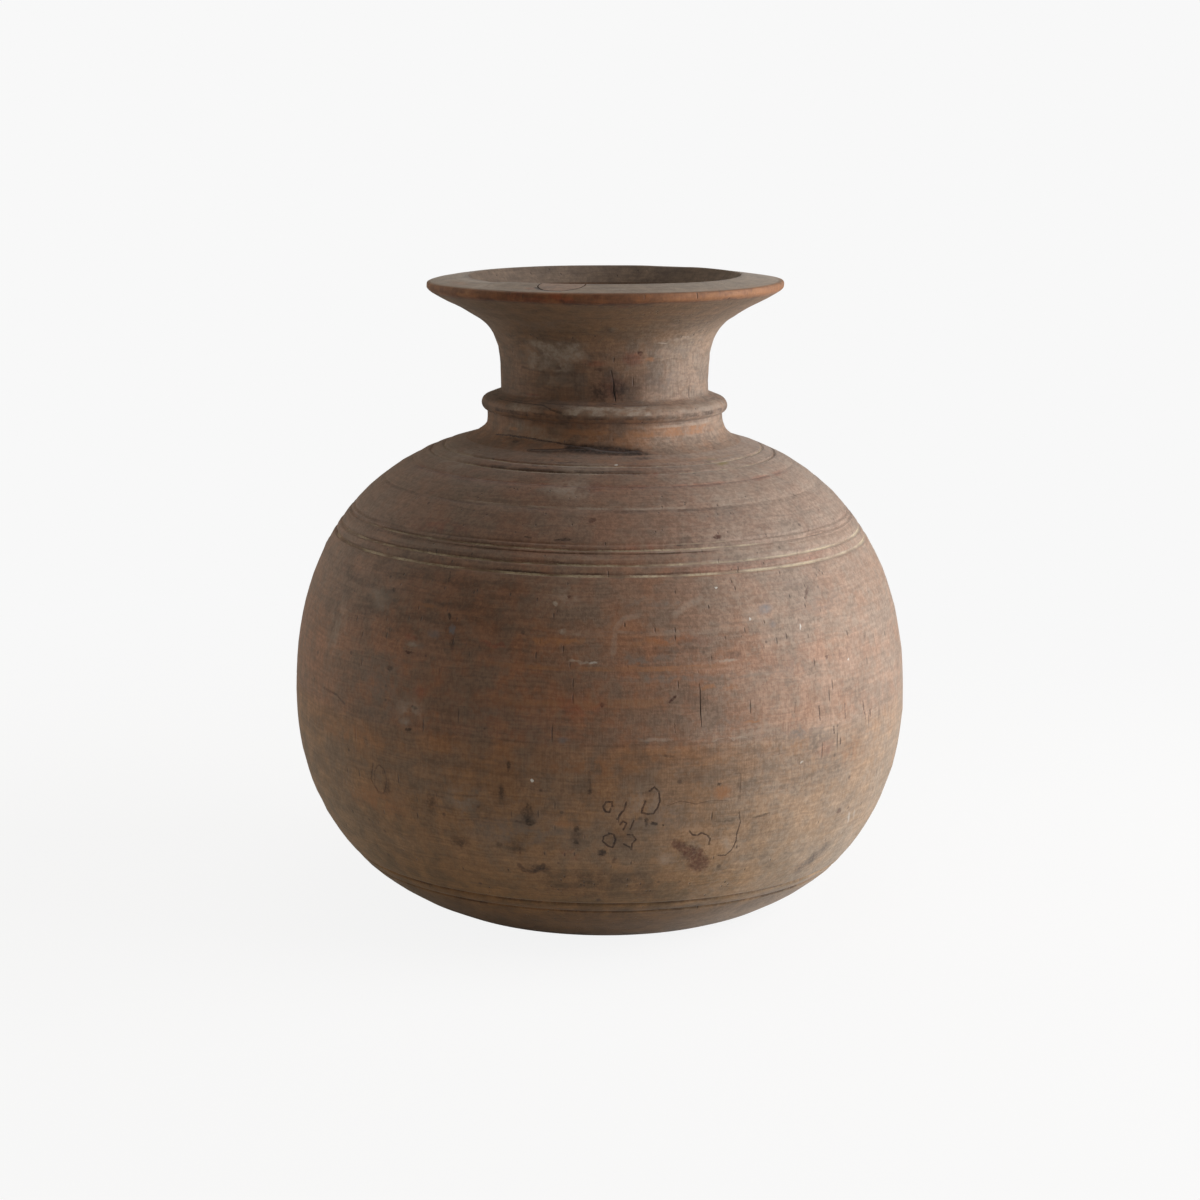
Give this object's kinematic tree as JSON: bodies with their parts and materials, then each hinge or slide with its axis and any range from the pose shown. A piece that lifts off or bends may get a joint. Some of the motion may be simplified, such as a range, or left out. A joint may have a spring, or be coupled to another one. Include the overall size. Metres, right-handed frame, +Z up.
{
  "type": "turned wooden pot",
  "caption": "Round-bellied pot turned from one block of wood, with a collar and bead under a narrow neck, a wide flared rim, incised rings, and a small round patch let into the rim.",
  "frame": {"origin": "centre of the flat base, on the surface that the pot stands on", "axes": "+Z up the pot's turning axis, out of its mouth; -Y is the front, which faces the picture's camera; the rim's patch lies a little to the left of the front"},
  "size_m": [0.3, 0.3, 0.3081],
  "materials": {
    "turned_wood": "old, dry and unpolished, with soot, dust in its grooves and worn edges",
    "patch_wood": "dry, redder than the rim around it"
  },
  "bodies": {
    "root": {"turned_vessel": "turned_wood", "rim_patch": "patch_wood"}
  },
  "joints": []
}
